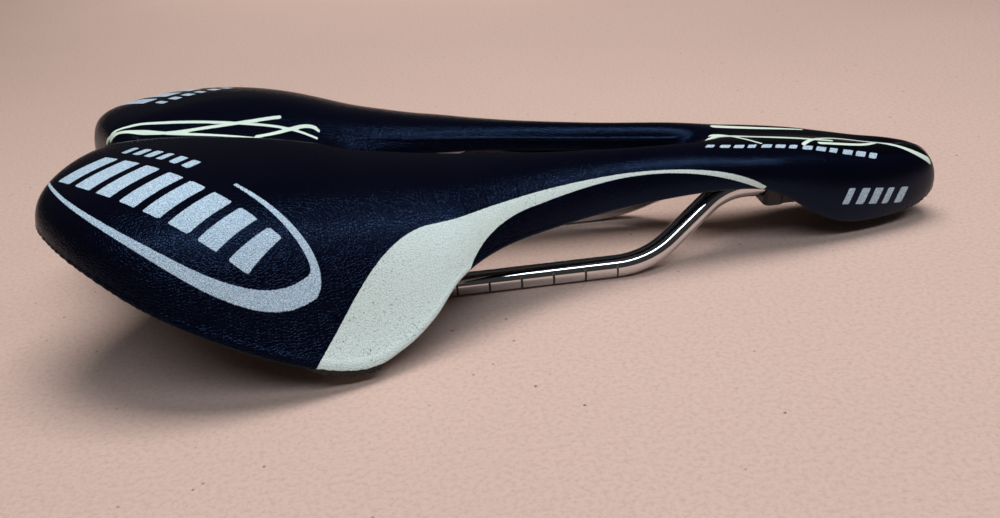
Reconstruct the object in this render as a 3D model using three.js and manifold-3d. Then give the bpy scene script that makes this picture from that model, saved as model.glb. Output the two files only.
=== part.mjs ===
// Racing bicycle saddle: padded cover on a nylon shell, carried by two round rails.
// Frame: +X to the nose, +Y to the rider's left, +Z up, millimetres.
import * as THREE from 'three';
import Module from 'manifold-3d';

const wasm = await Module();
wasm.setup();
const { Manifold, Mesh: ManifoldMesh } = wasm;

// ---- driving dimensions (mm) ----
const GAP = 0.3;              // clearance between neighbouring pieces
const COVER_T = 1.0;          // cover thickness
const PAD_T = 4.0;            // padding thickness on the crown
const PAD_EDGE_T = 0.6;       // padding thickness where it thins out at the skirt
const SHELL_T = 2.2;          // shell wall
const HEM = 8;                // height of the cover hem turned up inside the skirt
const RAIL_R = 3.5;           // rails are 7 mm round
const RAIL_Y = 22;            // rail centres are 44 mm apart along the clamp length
const RAIL_SIDES = 12;
const BORE_R = RAIL_R + 0.35; // rail bore in the nose block
const SLEEVE_T = 1.0;         // rubber sleeve on the rear rail ends
const STAPLE = { crown: 8, leg: 2.3, wide: 1.2, thick: 0.6 };

// Depths of the layers below the outer surface: crown, skirt and rise of the lower edge.
const PAD_OUT = { top: COVER_T + 1.5 * GAP, side: COVER_T + 2 * GAP, rise: COVER_T + GAP };
const PAD_IN = { top: PAD_OUT.top + PAD_T, side: PAD_OUT.side + PAD_EDGE_T, rise: PAD_OUT.rise };
const SHELL_OUT = { top: PAD_IN.top + GAP, side: PAD_IN.side + GAP, rise: PAD_OUT.rise };
const SHELL_IN = { top: SHELL_OUT.top + SHELL_T, side: SHELL_OUT.side + SHELL_T, rise: PAD_OUT.rise };
const HEM_OUT = { top: SHELL_IN.top + GAP, side: SHELL_IN.side + GAP, rise: COVER_T };
const HEM_IN = { top: HEM_OUT.top + COVER_T, side: HEM_OUT.side + COVER_T, rise: 0 };

// Half-sections of the saddle from the tail notch, round one wing, to the nose tip.
// edge x, y, z | inner end x, y, z | crown position, crown z | skirt flare, inner wall angle, fullness
const SECTIONS = [
  [13.0, 0.0, 38.5, 26.0, 0.0, 51.0, 0.30, 51.3, 6, 0, 0.80],
  [7.0, 11.5, 40.5, 27.0, 0.0, 51.0, 0.58, 54.2, 8, 0, 0.82],
  [1.0, 25.0, 43.0, 31.0, 0.0, 50.8, 0.45, 56.2, 8, 0, 0.86],
  [0.5, 38.0, 44.0, 37.0, 0.0, 50.4, 0.38, 57.2, 8, 0, 0.88],
  [7.0, 49.5, 41.5, 44.0, 0.0, 49.8, 0.35, 57.8, 10, 0, 0.88],
  [18.5, 60.0, 36.0, 51.0, 0.0, 49.0, 0.34, 58.0, 15, 0, 0.86],
  [33.0, 68.0, 28.0, 58.5, 0.0, 47.8, 0.33, 57.4, 22, 0, 0.82],
  [50.0, 71.8, 19.0, 66.5, 0.0, 46.0, 0.31, 55.8, 30, 0, 0.78],
  [68.0, 71.3, 9.8, 75.0, 0.0, 43.4, 0.29, 53.0, 35, 5, 0.73],
  [84.0, 67.5, 4.3, 85.0, 6.6, 38.8, 0.22, 49.4, 38, 60, 0.69],
  [95.0, 62.0, 6.2, 96.0, 8.6, 37.0, 0.19, 47.2, 36, 75, 0.66],
  [104.0, 56.0, 11.0, 104.5, 9.4, 36.0, 0.18, 45.6, 32, 80, 0.64],
  [113.0, 49.0, 19.0, 113.0, 10.0, 35.2, 0.18, 44.3, 26, 82, 0.62],
  [125.0, 40.0, 22.0, 124.0, 10.4, 34.5, 0.19, 42.7, 18, 82, 0.62],
  [142.0, 31.0, 22.5, 140.0, 10.2, 33.0, 0.21, 40.8, 8, 82, 0.64],
  [165.0, 23.3, 23.0, 163.0, 8.8, 30.8, 0.26, 38.6, 0, 80, 0.68],
  [190.0, 19.7, 23.5, 187.0, 5.6, 29.8, 0.30, 36.8, -3, 60, 0.70],
  [208.0, 18.4, 22.3, 199.0, 0.0, 34.6, 0.30, 35.4, -3, 0, 0.74],
  [218.0, 18.1, 18.5, 213.0, 0.0, 33.8, 0.30, 34.1, -3, 0, 0.76],
  [229.0, 17.2, 10.8, 225.0, 0.0, 32.4, 0.28, 32.6, -3, 0, 0.78],
  [240.0, 15.8, 6.2, 236.0, 0.0, 30.4, 0.26, 30.5, -5, 0, 0.78],
  [252.5, 13.3, 5.2, 246.0, 0.0, 28.3, 0.24, 28.3, -8, 0, 0.80],
  [265.0, 9.6, 5.8, 252.0, 0.0, 27.0, 0.24, 27.0, -12, 0, 0.82],
  [272.8, 5.2, 8.2, 255.5, 0.0, 26.2, 0.24, 26.0, -14, 0, 0.82],
  [274.8, 0.0, 9.8, 257.0, 0.0, 25.9, 0.24, 25.6, -14, 0, 0.82],
];
const HOLE_FIRST = 8, HOLE_LAST = 17; // sections between which the relief cut-out is open
const STATIONS = [0, 0.5, 1, 1.5, 2, 2.5, 3, 3.5, 4, 4.5, 5, 6, 7, 8, 8.5, 9, 10, 11, 12, 13, 14, 15,
  16, 16.5, 17, 18, 19, 20, 21, 21.5, 22, 22.5, 23, 23.5, 24];
const N_IN = 3, N_OUT = 7, N_HEM = 2; // steps across the inner part, the outer part and the hem

// ---- section maths ----
function sectionAt(t) {
  const n = SECTIONS.length;
  const i = Math.min(Math.floor(t), n - 2), f = t - i;
  const p1 = SECTIONS[i], p2 = SECTIONS[i + 1];
  const p0 = i > 0 ? SECTIONS[i - 1] : p1.map((v, k) => 2 * v - p2[k]);
  const p3 = i + 2 < n ? SECTIONS[i + 2] : p2.map((v, k) => 2 * v - p1[k]);
  const r = p1.map((_, k) => 0.5 * (2 * p1[k] + (-p0[k] + p2[k]) * f
    + (2 * p0[k] - 5 * p1[k] + 4 * p2[k] - p3[k]) * f * f
    + (-p0[k] + 3 * p1[k] - 3 * p2[k] + p3[k]) * f * f * f));
  const open = t > HOLE_FIRST && t < HOLE_LAST;
  const ex = r[0], ey = t === 0 || t === n - 1 ? 0 : r[1];
  const ix = r[3], iy = open ? Math.max(r[4], 0.4) : 0;
  const width = Math.hypot(ex - ix, ey - iy);
  return {
    ex, ey, ez: r[2], ix, iy, iz: r[5], width, crownW: r[6] * width, crownZ: r[7],
    flare: THREE.MathUtils.degToRad(r[8]), wall: THREE.MathUtils.degToRad(Math.max(r[9], 0)),
    full: r[10], open: open ? Math.min(Math.max(r[9], 0) / 60, 1) : 0,
  };
}

function bezier(a, b, c, d, t) {
  const s = 1 - t;
  return [0, 1].map((k) => s * s * s * a[k] + 3 * s * s * t * b[k] + 3 * s * t * t * c[k] + t * t * t * d[k]);
}

// Outer surface in the section plane: w is the distance from the inner end, z the height.
function innerCurve(s, n) { // inner end up to the crown
  const crown = [s.crownW, s.crownZ], end = [0, s.iz], rise = s.crownZ - s.iz;
  const lead = [crown[0] - 0.5 * s.crownW, s.crownZ];
  const foot = [0.45 * s.crownW * Math.cos(s.wall), s.iz + 0.6 * rise * Math.sin(s.wall)];
  return Array.from({ length: n + 1 }, (_, i) => bezier(crown, lead, foot, end, 1 - i / n));
}
function outerCurve(s, n) { // crown down to the lower edge
  const crown = [s.crownW, s.crownZ], edge = [s.width, s.ez], drop = s.crownZ - s.ez;
  const lead = [crown[0] + s.full * (s.width - s.crownW), s.crownZ];
  const foot = [edge[0] - 0.5 * drop * Math.sin(s.flare), edge[1] + 0.5 * drop * Math.cos(s.flare)];
  return Array.from({ length: n + 1 }, (_, i) => bezier(crown, lead, foot, edge, i / n));
}

// A layer below the outer surface. The inner part follows the cut-out wall when follow is 1
// and stays flat towards the cut-out when follow is 0.
function layerInner(s, depth, n, wallGap, follow) {
  const rise = s.crownZ - s.iz, shift = s.open ? wallGap : 0;
  return innerCurve(s, n).map(([w, z]) => {
    const up = s.open ? (z - s.iz) / rise : 1;
    const closed = z - depth.top;
    const open = follow ? z - depth.top * up : s.crownZ - depth.top;
    return [shift + (w * (s.crownW - shift)) / s.crownW, (1 - s.open) * closed + s.open * open];
  });
}
function layerOuter(s, depth, n) {
  const kw = (s.width - depth.side - s.crownW) / (s.width - s.crownW);
  const ez = s.ez + depth.rise, kz = (s.crownZ - depth.top - ez) / (s.crownZ - s.ez);
  return outerCurve(s, n).map(([w, z]) => [s.crownW + (w - s.crownW) * kw, ez + (z - s.ez) * kz]);
}
// Points of a curve between two heights, evenly spaced in height, lowest first.
function cutByHeight(curve, z0, z1, n) {
  const pts = curve.slice().sort((a, b) => a[1] - b[1]);
  return Array.from({ length: n + 1 }, (_, i) => {
    const z = z0 + ((z1 - z0) * i) / n;
    let k = 1;
    while (k < pts.length - 1 && pts[k][1] < z) k += 1;
    const [w0, a] = pts[k - 1], [w1, b] = pts[k];
    return [w0 + ((w1 - w0) * (z - a)) / (b - a), z];
  });
}
function toSpace(s, [w, z]) {
  const dx = (s.ex - s.ix) / s.width, dy = (s.ey - s.iy) / s.width;
  return [s.ix + dx * w, Math.max(s.iy + dy * w, 0), z];
}

// ---- closed sheet solids: outer and inner faces, joined along both free edges ----
class Surface {
  constructor() { this.pos = []; this.index = []; this.keys = new Map(); }
  vertex(p) {
    const key = p.map((v) => Math.round(v * 1e4)).join(',');
    if (!this.keys.has(key)) { this.keys.set(key, this.pos.length / 3); this.pos.push(...p); }
    return this.keys.get(key);
  }
  tri(a, b, c) { if (a !== b && b !== c && a !== c) this.index.push(a, b, c); }
  quad(a, b, c, d) { this.tri(a, b, c); this.tri(a, c, d); }
  geometry() {
    const g = new THREE.BufferGeometry();
    g.setAttribute('position', new THREE.Float32BufferAttribute(this.pos, 3));
    g.setIndex(this.index);
    return g;
  }
}
function sheet(profile) { // profile(section) gives { outer, inner } lists of equal length
  const surf = new Surface();
  for (const side of [1, -1]) {
    const rows = STATIONS.map((t) => {
      const s = sectionAt(t), { outer, inner } = profile(s);
      const put = (q) => { const [x, y, z] = toSpace(s, q); return surf.vertex([x, side * y, z]); };
      return { t, outer: outer.map(put), inner: inner.map(put) };
    });
    const face = (a, b, c, d) => (side > 0 ? surf.quad(a, b, c, d) : surf.quad(d, c, b, a));
    for (let k = 0; k + 1 < rows.length; k += 1) {
      const p = rows[k], q = rows[k + 1], n = p.outer.length - 1;
      for (let i = 0; i < n; i += 1) {
        face(p.outer[i], q.outer[i], q.outer[i + 1], p.outer[i + 1]);
        face(p.inner[i], p.inner[i + 1], q.inner[i + 1], q.inner[i]);
      }
      face(p.outer[n], q.outer[n], q.inner[n], p.inner[n]);
      if (p.t >= HOLE_FIRST && q.t <= HOLE_LAST) face(p.inner[0], q.inner[0], q.outer[0], p.outer[0]);
    }
  }
  return surf.geometry();
}

const flat = { top: 0, side: 0, rise: 0 };
const hemHeight = (s) => Math.min(HEM, 0.6 * (s.crownZ - HEM_IN.top - s.ez));
function coverProfile(s) {
  const skin = { top: COVER_T, side: COVER_T, rise: COVER_T };
  const hem = hemHeight(s);
  const bend = 0.5;
  const round = (curve, w, z) => { // replace the last point by two, so the fold has a chamfer
    const c = curve.slice(0, -1);
    return [...c, [w, z + bend], [w - bend, z]];
  };
  const out = round([...layerInner(s, flat, N_IN, 0, 1), ...layerOuter(s, flat, N_OUT).slice(1)], s.width, s.ez);
  const inn = round([...layerInner(s, skin, N_IN, COVER_T, 1), ...layerOuter(s, skin, N_OUT).slice(1)],
    s.width - COVER_T, s.ez + COVER_T);
  const hemOut = cutByHeight(layerOuter(s, HEM_OUT, 24), s.ez + COVER_T, s.ez + hem, N_HEM);
  const hemIn = cutByHeight(layerOuter(s, HEM_IN, 24), s.ez, s.ez + hem, N_HEM);
  return { outer: [...out, ...hemIn], inner: [...inn, ...hemOut] };
}
// Distance from the cut-out's rim line at which the shell starts, just clear of the cover's wall.
function lipStart(s) {
  if (!s.open) return 0;
  const wall = layerInner(s, { top: COVER_T }, 40, COVER_T, 1);
  const level = s.crownZ - PAD_IN.top;
  const at = wall.find((p) => p[1] > level) || wall[0];
  return at[0] + GAP;
}
function paddingProfile(s) {
  const under = layerInner(s, PAD_IN, N_IN, lipStart(s), 0);
  const fine = layerInner(s, PAD_OUT, 30, COVER_T + 4 * GAP, 1);
  const cut = Math.max(0, fine.findIndex((p) => p[1] > under[0][1] + 1.0));
  const top = Array.from({ length: N_IN + 1 }, (_, i) => fine[Math.round(cut + ((30 - cut) * i) / N_IN)]);
  return {
    outer: [...top, ...layerOuter(s, PAD_OUT, N_OUT).slice(1)],
    inner: [...under, ...layerOuter(s, PAD_IN, N_OUT).slice(1)],
  };
}
function shellProfile(s, a = SHELL_OUT, b = SHELL_IN) {
  const lip = lipStart(s);
  return {
    outer: [...layerInner(s, a, N_IN, lip, 0), ...layerOuter(s, a, N_OUT).slice(1)],
    inner: [...layerInner(s, b, N_IN, lip, 0), ...layerOuter(s, b, N_OUT).slice(1)],
  };
}

// ---- boolean helpers ----
function solid(geometry) {
  const g = geometry;
  const surf = new Surface();
  const p = g.attributes.position, idx = g.index ? g.index.array : [...Array(p.count).keys()];
  const id = Array.from({ length: p.count }, (_, i) => surf.vertex([p.getX(i), p.getY(i), p.getZ(i)]));
  for (let i = 0; i < idx.length; i += 3) surf.tri(id[idx[i]], id[idx[i + 1]], id[idx[i + 2]]);
  return new Manifold(new ManifoldMesh({
    numProp: 3, vertProperties: new Float32Array(surf.pos), triVerts: new Uint32Array(surf.index),
  }));
}
function geometryOf(man) {
  const m = man.getMesh();
  const g = new THREE.BufferGeometry();
  g.setAttribute('position', new THREE.Float32BufferAttribute(m.vertProperties, 3));
  g.setIndex(Array.from(m.triVerts));
  return g;
}
function mirrorY(geometry) {
  const g = geometry.clone();
  const p = g.attributes.position;
  for (let i = 0; i < p.count; i += 1) p.setY(i, -p.getY(i));
  const idx = g.index ? Array.from(g.index.array) : [...Array(p.count).keys()];
  for (let i = 0; i < idx.length; i += 3) [idx[i + 1], idx[i + 2]] = [idx[i + 2], idx[i + 1]];
  g.setIndex(idx);
  return g;
}
const v3 = (x, y, z) => new THREE.Vector3(x, y, z);

// Round bar or tube along a path of points; ends flat. Facets lie square to Z on level runs.
function sweep(points, radius, sides, closeEnds = true) {
  const surf = new Surface();
  const rings = points.map((p, i) => {
    const a = points[Math.max(i - 1, 0)], b = points[Math.min(i + 1, points.length - 1)];
    const t = b.clone().sub(a).normalize();
    const side = v3(0, 0, 1).cross(t).normalize(), up = t.clone().cross(side);
    return Array.from({ length: sides }, (_, k) => {
      const ang = ((k + 0.5) * 2 * Math.PI) / sides;
      const q = p.clone().addScaledVector(side, radius * Math.cos(ang)).addScaledVector(up, radius * Math.sin(ang));
      return surf.vertex([q.x, q.y, q.z]);
    });
  });
  for (let i = 0; i + 1 < rings.length; i += 1) {
    for (let k = 0; k < sides; k += 1) {
      const m = (k + 1) % sides;
      surf.quad(rings[i][k], rings[i][m], rings[i + 1][m], rings[i + 1][k]);
    }
  }
  if (closeEnds) {
    const last = rings[rings.length - 1];
    for (let k = 1; k + 1 < sides; k += 1) {
      surf.tri(rings[0][0], rings[0][k + 1], rings[0][k]);
      surf.tri(last[0], last[k], last[k + 1]);
    }
  }
  return surf.geometry();
}
const acrossFlats = (r, sides) => r / Math.cos(Math.PI / sides);
function bar(from, to, r, sides = 16) {
  return solid(sweep([from, to], acrossFlats(r, sides), sides));
}
// Straight runs joined by round bends.
function bentPath(corners, steps) {
  const out = [corners[0].at.clone()];
  for (let i = 1; i + 1 < corners.length; i += 1) {
    const p = corners[i].at, r = corners[i].bend;
    const u = corners[i - 1].at.clone().sub(p).normalize(), v = corners[i + 1].at.clone().sub(p).normalize();
    const half = u.angleTo(v) / 2, reach = r / Math.tan(half);
    const centre = p.clone().addScaledVector(u.clone().add(v).normalize(), r / Math.sin(half));
    const a = p.clone().addScaledVector(u, reach).sub(centre), b = p.clone().addScaledVector(v, reach).sub(centre);
    const turn = a.angleTo(b);
    for (let k = 0; k <= steps; k += 1) {
      const f = k / steps;
      const q = a.clone().multiplyScalar(Math.sin((1 - f) * turn) / Math.sin(turn))
        .addScaledVector(b, Math.sin(f * turn) / Math.sin(turn));
      out.push(centre.clone().add(q));
    }
  }
  out.push(corners[corners.length - 1].at.clone());
  return out;
}

// ---- rails ----
const REAR_END = v3(24, 28.8, 39.8), REAR_KNEE = v3(52, RAIL_Y, RAIL_R);
const FRONT_KNEE = v3(172, RAIL_Y, RAIL_R), FRONT_BEND = v3(200, 8.2, 19.6), FRONT_END = v3(234, 4.5, 18.0);
const railPath = bentPath([
  { at: REAR_END }, { at: REAR_KNEE, bend: 22 }, { at: FRONT_KNEE, bend: 30 },
  { at: FRONT_BEND, bend: 24 }, { at: FRONT_END },
], 6);
const railLeft = sweep(railPath, acrossFlats(RAIL_R, RAIL_SIDES), RAIL_SIDES);

// ---- layers of the body ----
const padding = sheet(paddingProfile);
let cover = solid(sheet(coverProfile));
let shell = solid(sheet((s) => shellProfile(s)));
// Everything above the shell's underside less the clearance: trims the holders to the shell.
const aboveShell = solid(sheet((s) => shellProfile(s, { ...SHELL_OUT, top: -12, side: -4 },
  { ...SHELL_IN, top: SHELL_IN.top + GAP, side: SHELL_IN.side + GAP })));

function prism(x0, x1, y0, y1, z0, z1, r, steps = 3) { // rounded rectangle, standing along Z
  const shape = new THREE.Shape();
  const corner = (cx, cy, a) => {
    for (let k = 0; k <= steps; k += 1) {
      const t = a + (k * Math.PI) / 2 / steps;
      const x = cx + r * Math.cos(t), y = cy + r * Math.sin(t);
      if (shape.curves.length || shape.started) shape.lineTo(x, y); else { shape.moveTo(x, y); shape.started = true; }
    }
  };
  corner(x1 - r, y1 - r, 0);
  corner(x0 + r, y1 - r, Math.PI / 2);
  corner(x0 + r, y0 + r, Math.PI);
  corner(x1 - r, y0 + r, 1.5 * Math.PI);
  shape.closePath();
  return solid(new THREE.ExtrudeGeometry(shape, { depth: z1 - z0, bevelEnabled: false }).translate(0, 0, z0));
}

// ---- nose block: carries both front rail ends ----
const frontRun = FRONT_END.clone().sub(FRONT_BEND).normalize();
const frontFrom = FRONT_BEND.clone().addScaledVector(frontRun, 6);
const frontStop = FRONT_END.clone().addScaledVector(frontRun, GAP);
const noseScrews = [v3(211.5, 0, 0), v3(240.0, 0, 0)];
const NOSE_SEAT = 16.5; // height of the screw seats
let noseBlock = prism(208, 243.5, -4.5, 4.5, 14, 40, 4)
  .add(prism(213.5, 220, -11.2, 11.2, 13, 40, 2))
  .add(prism(217, 228, -10.3, 10.3, 13, 40, 2))
  .add(prism(220, 238, -9.2, 9.2, 13, 40, 2));
for (const m of [1, -1]) {
  const a = frontFrom.clone().setY(m * frontFrom.y), b = frontStop.clone().setY(m * frontStop.y);
  noseBlock = noseBlock.subtract(bar(a, b, BORE_R));
}

// ---- rear clips and sleeves ----
const rearRun = REAR_END.clone().sub(REAR_KNEE).normalize();
const along = (d) => REAR_END.clone().addScaledVector(rearRun, d);
const SLEEVE_IN = RAIL_R + 0.35, SLEEVE_OUT = SLEEVE_IN + SLEEVE_T, SOCKET_R = SLEEVE_OUT + GAP;
const sleeveLeft = bar(along(-13), along(-0.5), SLEEVE_OUT).subtract(bar(along(-20), along(5), SLEEVE_IN));
const CLIP_X = 23.5, CLIP_Y = 29, FLANGE_Z = 42.6;
const clipScrews = [v3(CLIP_X, CLIP_Y - 12.5, 0), v3(CLIP_X, CLIP_Y + 12.5, 0)];
let clipLeft = prism(CLIP_X - 8, CLIP_X + 8, CLIP_Y - 17, CLIP_Y + 17, FLANGE_Z, 60, 5)
  .add(bar(along(-12), along(9), SOCKET_R + 2.0, 16))
  .subtract(bar(along(-40), along(0.6), SOCKET_R));

// ---- screws: domed head with a socket, shank up into the shell ----
const HEAD_R = 2.7, HEAD_H = 1.9, SHANK_R = 1.5, SCREW_SIDES = 10;
function screwGeometry(top, seat) {
  const h = seat - HEAD_H, pts = [
    [0, h + 1.1], [1.2, h + 1.1], [1.2, h], [1.9, h], [HEAD_R, h + 0.7], [HEAD_R, seat], [SHANK_R, seat],
    [SHANK_R, top - 0.6], [0.9, top], [0, top]];
  return new THREE.LatheGeometry(pts.map(([r, z]) => new THREE.Vector2(r, z)), SCREW_SIDES).rotateX(Math.PI / 2);
}
const mm = (x, y) => v3(x, y, 0);
function undersideZ(x, y) { // underside of the shell above a point, from a thin probe
  const probe = solid(new THREE.BoxGeometry(0.2, 0.2, 80).translate(x, y, 50));
  const box = shell.intersect(probe).boundingBox();
  return box.min[2];
}
const screws = [];
function placeScrew(name, at, seat) {
  const tip = undersideZ(at.x, at.y) + 1.5;
  const place = (g) => g.translate(at.x, at.y, 0);
  const hole = solid(place(new THREE.CylinderGeometry(SHANK_R + GAP, SHANK_R + GAP, tip + GAP - seat + 1, 12)
    .rotateX(Math.PI / 2).translate(0, 0, (tip + GAP + seat - 1) / 2)));
  const head = solid(place(new THREE.CylinderGeometry(HEAD_R + 0.5, HEAD_R + 0.5, 30, 12)
    .rotateX(Math.PI / 2).translate(0, 0, seat - GAP - 15)));
  screws.push({ name, geometry: place(screwGeometry(tip, seat - GAP)) });
  return { hole, head };
}
noseScrews.forEach((p, i) => {
  const { hole, head } = placeScrew(`nose_screw_${i ? 'front' : 'rear'}`, p, NOSE_SEAT);
  noseBlock = noseBlock.subtract(hole).subtract(head);
  shell = shell.subtract(hole);
});
clipScrews.forEach((p, i) => {
  const { hole, head } = placeScrew(`clip_screw_left_${i ? 'outer' : 'inner'}`, p, FLANGE_Z + 1.6);
  clipLeft = clipLeft.subtract(hole).subtract(head);
  shell = shell.subtract(hole).subtract(solid(mirrorY(geometryOf(hole))));
});
noseBlock = noseBlock.subtract(aboveShell);
clipLeft = clipLeft.subtract(aboveShell);

// ---- staples: hold the hem against the inside of the skirt ----
const STAPLE_AT = [3, 6, 9, 12, 16, 21, 28]; // spans between stations, on both sides
const STAPLE_LIFT = 0.5; // crown stands this far off the hem's face
const staples = [];
function stapleSolid({ crown, leg, wide, thick }, pad) { // crown along X, legs along -Z
  const box = (cx, cz, lx, lz) => solid(new THREE.BoxGeometry(lx + 2 * pad, wide + 2 * pad, lz + 2 * pad)
    .translate(cx, 0, cz));
  const legs = [1, -1].map((m) => box(m * (crown / 2 - thick / 2), STAPLE_LIFT - leg / 2, thick, leg));
  if (pad) return legs[0].add(legs[1]);
  return box(0, STAPLE_LIFT + thick / 2, crown, thick + 0.02).add(legs[0]).add(legs[1]);
}
STAPLE_AT.forEach((k, index) => {
  const corners = [STATIONS[k], STATIONS[k + 1]].map((t) => {
    const s = sectionAt(t), hem = hemHeight(s);
    return cutByHeight(layerOuter(s, HEM_IN, 24), s.ez, s.ez + hem, 2).slice(1).map((q) => v3(...toSpace(s, q)));
  });
  const [[a1, a2], [b1, b2]] = corners;
  const centre = a1.clone().add(a2).add(b1).add(b2).multiplyScalar(0.25);
  const run = b1.clone().add(b2).sub(a1).sub(a2).normalize();
  const up = a2.clone().add(b2).sub(a1).sub(b1).normalize();
  const out = run.clone().cross(up).normalize(); // away from the hem, into the hollow
  if (out.dot(v3(130 - centre.x, -centre.y, 0)) < 0) out.negate();
  const basis = new THREE.Matrix4().makeBasis(run, out.clone().cross(run).normalize(), out).setPosition(centre);
  const body = geometryOf(stapleSolid(STAPLE, 0)).applyMatrix4(basis);
  const clear = geometryOf(stapleSolid(STAPLE, 0.25)).applyMatrix4(basis);
  for (const [tag, pick] of [['left', (g) => g.clone()], ['right', mirrorY]]) {
    const hole = solid(pick(clear));
    cover = cover.subtract(hole);
    shell = shell.subtract(hole);
    staples.push({ name: `staple_${tag}_${index + 1}`, geometry: pick(body) });
  }
});

// ---- materials and assembly ----
const look = (color, roughness, metalness = 0) => new THREE.MeshStandardMaterial({ color, roughness, metalness });
const saddle = new THREE.Group();
saddle.name = 'bicycle_saddle';
function add(name, geometry, material) {
  const mesh = new THREE.Mesh(geometry, material);
  mesh.name = name;
  saddle.add(mesh);
}
const both = (name, geometry, material) => {
  add(`${name}_left`, geometry, material());
  add(`${name}_right`, mirrorY(geometry), material());
};
add('cover', geometryOf(cover), look(0x0b0d18, 0.45));
add('padding', padding, look(0x8f8b80, 0.95));
add('shell', geometryOf(shell), look(0x1a1b1e, 0.6));
add('nose_block', geometryOf(noseBlock), look(0x222326, 0.55));
both('rail', railLeft, () => look(0xd8d9dc, 0.12, 1));
both('rear_clip', geometryOf(clipLeft), () => look(0x222326, 0.55));
both('rear_sleeve', geometryOf(sleeveLeft), () => look(0x0c0c0c, 0.85));
const steel = () => look(0x9a9ca0, 0.3, 1);
for (const { name, geometry } of screws) {
  add(name, geometry, steel());
  if (name.includes('_left_')) add(name.replace('_left_', '_right_'), mirrorY(geometry), steel());
}
for (const { name, geometry } of staples) add(name, geometry, steel());

// Origin at the bottom centre of the whole saddle.
const box = new THREE.Box3().setFromObject(saddle);
const shift = v3(-(box.min.x + box.max.x) / 2, -(box.min.y + box.max.y) / 2, -box.min.z);
for (const mesh of saddle.children) mesh.geometry.translate(shift.x, shift.y, shift.z);

export default saddle;
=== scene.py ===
import math

import bpy
import numpy as np
from mathutils import Matrix, Vector


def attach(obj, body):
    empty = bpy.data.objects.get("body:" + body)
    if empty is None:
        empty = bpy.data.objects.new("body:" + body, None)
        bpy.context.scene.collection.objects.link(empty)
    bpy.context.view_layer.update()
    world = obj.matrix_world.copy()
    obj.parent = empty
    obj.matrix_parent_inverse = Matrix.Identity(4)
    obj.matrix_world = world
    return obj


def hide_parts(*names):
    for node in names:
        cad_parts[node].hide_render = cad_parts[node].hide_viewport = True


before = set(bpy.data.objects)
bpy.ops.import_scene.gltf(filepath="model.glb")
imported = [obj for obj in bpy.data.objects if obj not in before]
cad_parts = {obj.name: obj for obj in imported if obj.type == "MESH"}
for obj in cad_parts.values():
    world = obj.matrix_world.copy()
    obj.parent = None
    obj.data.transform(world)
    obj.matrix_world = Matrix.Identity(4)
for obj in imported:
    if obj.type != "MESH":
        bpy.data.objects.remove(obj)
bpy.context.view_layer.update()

MM = 0.001
X_SHIFT = -137.633          # CAD row frame: x = 0 at the middle of the saddle's length

# ---------------------------------------------------------------------------
# Saddle form, in millimetres, the same half-sections as the CAD part
# edge x, y, z | inner end x, y, z | crown position, crown z | flare, wall angle, fullness
SECTIONS = np.array([
    [13.0, 0.0, 38.5, 26.0, 0.0, 51.0, 0.30, 51.3, 6, 0, 0.80],
    [7.0, 11.5, 40.5, 27.0, 0.0, 51.0, 0.58, 54.2, 8, 0, 0.82],
    [1.0, 25.0, 43.0, 31.0, 0.0, 50.8, 0.45, 56.2, 8, 0, 0.86],
    [0.5, 38.0, 44.0, 37.0, 0.0, 50.4, 0.38, 57.2, 8, 0, 0.88],
    [7.0, 49.5, 41.5, 44.0, 0.0, 49.8, 0.35, 57.8, 10, 0, 0.88],
    [18.5, 60.0, 36.0, 51.0, 0.0, 49.0, 0.34, 58.0, 15, 0, 0.86],
    [33.0, 68.0, 28.0, 58.5, 0.0, 47.8, 0.33, 57.4, 22, 0, 0.82],
    [50.0, 71.8, 19.0, 66.5, 0.0, 46.0, 0.31, 55.8, 30, 0, 0.78],
    [68.0, 71.3, 9.8, 75.0, 0.0, 43.4, 0.29, 53.0, 35, 5, 0.73],
    [84.0, 67.5, 4.3, 85.0, 6.6, 38.8, 0.22, 49.4, 38, 60, 0.69],
    [95.0, 62.0, 6.2, 96.0, 8.6, 37.0, 0.19, 47.2, 36, 75, 0.66],
    [104.0, 56.0, 11.0, 104.5, 9.4, 36.0, 0.18, 45.6, 32, 80, 0.64],
    [113.0, 49.0, 19.0, 113.0, 10.0, 35.2, 0.18, 44.3, 26, 82, 0.62],
    [125.0, 40.0, 22.0, 124.0, 10.4, 34.5, 0.19, 42.7, 18, 82, 0.62],
    [142.0, 31.0, 22.5, 140.0, 10.2, 33.0, 0.21, 40.8, 8, 82, 0.64],
    [165.0, 23.3, 23.0, 163.0, 8.8, 30.8, 0.26, 38.6, 0, 80, 0.68],
    [190.0, 19.7, 23.5, 187.0, 5.6, 29.8, 0.30, 36.8, -3, 60, 0.70],
    [208.0, 18.4, 22.3, 199.0, 0.0, 34.6, 0.30, 35.4, -3, 0, 0.74],
    [218.0, 18.1, 18.5, 213.0, 0.0, 33.8, 0.30, 34.1, -3, 0, 0.76],
    [229.0, 17.2, 10.8, 225.0, 0.0, 32.4, 0.28, 32.6, -3, 0, 0.78],
    [240.0, 15.8, 6.2, 236.0, 0.0, 30.4, 0.26, 30.5, -5, 0, 0.78],
    [252.5, 13.3, 5.2, 246.0, 0.0, 28.3, 0.24, 28.3, -8, 0, 0.80],
    [265.0, 9.6, 5.8, 252.0, 0.0, 27.0, 0.24, 27.0, -12, 0, 0.82],
    [272.8, 5.2, 8.2, 255.5, 0.0, 26.2, 0.24, 26.0, -14, 0, 0.82],
    [274.8, 0.0, 9.8, 257.0, 0.0, 25.9, 0.24, 25.6, -14, 0, 0.82],
])
HOLE_FIRST, HOLE_LAST = 8, 17     # sections between which the cut-out is open
LAST = len(SECTIONS) - 1

GAP = 0.3
COVER_T = 1.0
PAD_T = 4.0
PAD_EDGE_T = 0.6
SHELL_T = 2.2
HEM = 8.0
RAIL_R = 3.5
RAIL_SIDES = 40


def depth(top, side, rise):
    return {"top": top, "side": side, "rise": rise}


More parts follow.
